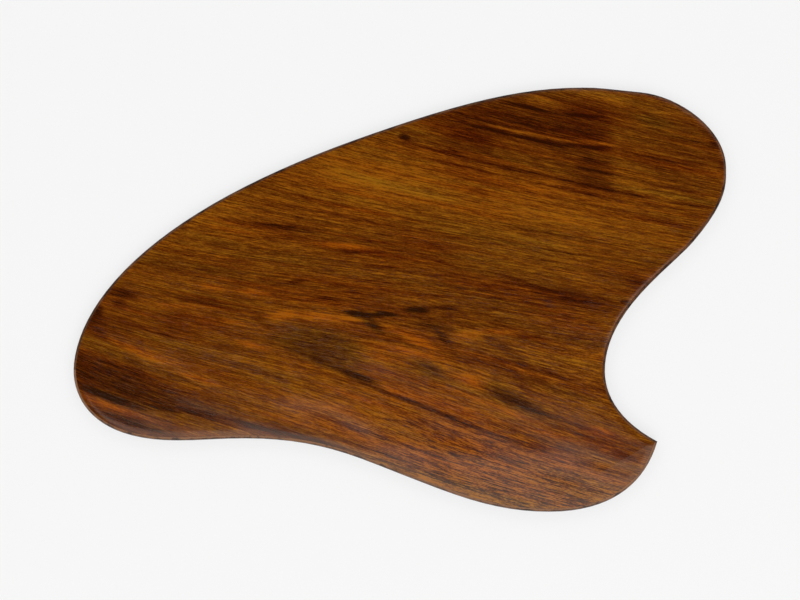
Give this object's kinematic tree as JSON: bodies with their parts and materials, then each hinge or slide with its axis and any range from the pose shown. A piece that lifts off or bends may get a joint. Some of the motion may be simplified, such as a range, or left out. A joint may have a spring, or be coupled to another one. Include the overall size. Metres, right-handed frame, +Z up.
{
  "type": "french curve",
  "caption": "Free-form flat drawing template with one deep bay, one pointed tip and two round lobes, in veneered laminated board with bent edge strips.",
  "frame": {"origin": "under the middle of the board's bounding box, on the surface that it lies on", "axes": "+X along the length, towards the nose lobe; +Y across the board, towards the crown; +Z up out of the rosewood face"},
  "size_m": [0.327, 0.213, 0.0065],
  "materials": {
    "face_veneer": "flat-cut rosewood veneer, satin lacquer",
    "backing_veneer": "plain straight-grained rosewood veneer, thin satin lacquer",
    "long_ply": "bare beech ply, grain along the board",
    "cross_ply": "bare beech ply, grain across the board",
    "lipping": "dark-stained rosewood strip, rubbed satin"
  },
  "bodies": {
    "root": {"back_veneer": "backing_veneer", "core_ply_1": "cross_ply", "core_ply_2": "long_ply", "core_ply_3": "cross_ply", "core_ply_4": "long_ply", "core_ply_5": "cross_ply", "face_veneer": "face_veneer", "sweep_lipping": "lipping", "heel_lipping": "lipping", "toe_lipping": "lipping", "bay_lipping": "lipping", "nose_lipping": "lipping"}
  },
  "joints": []
}
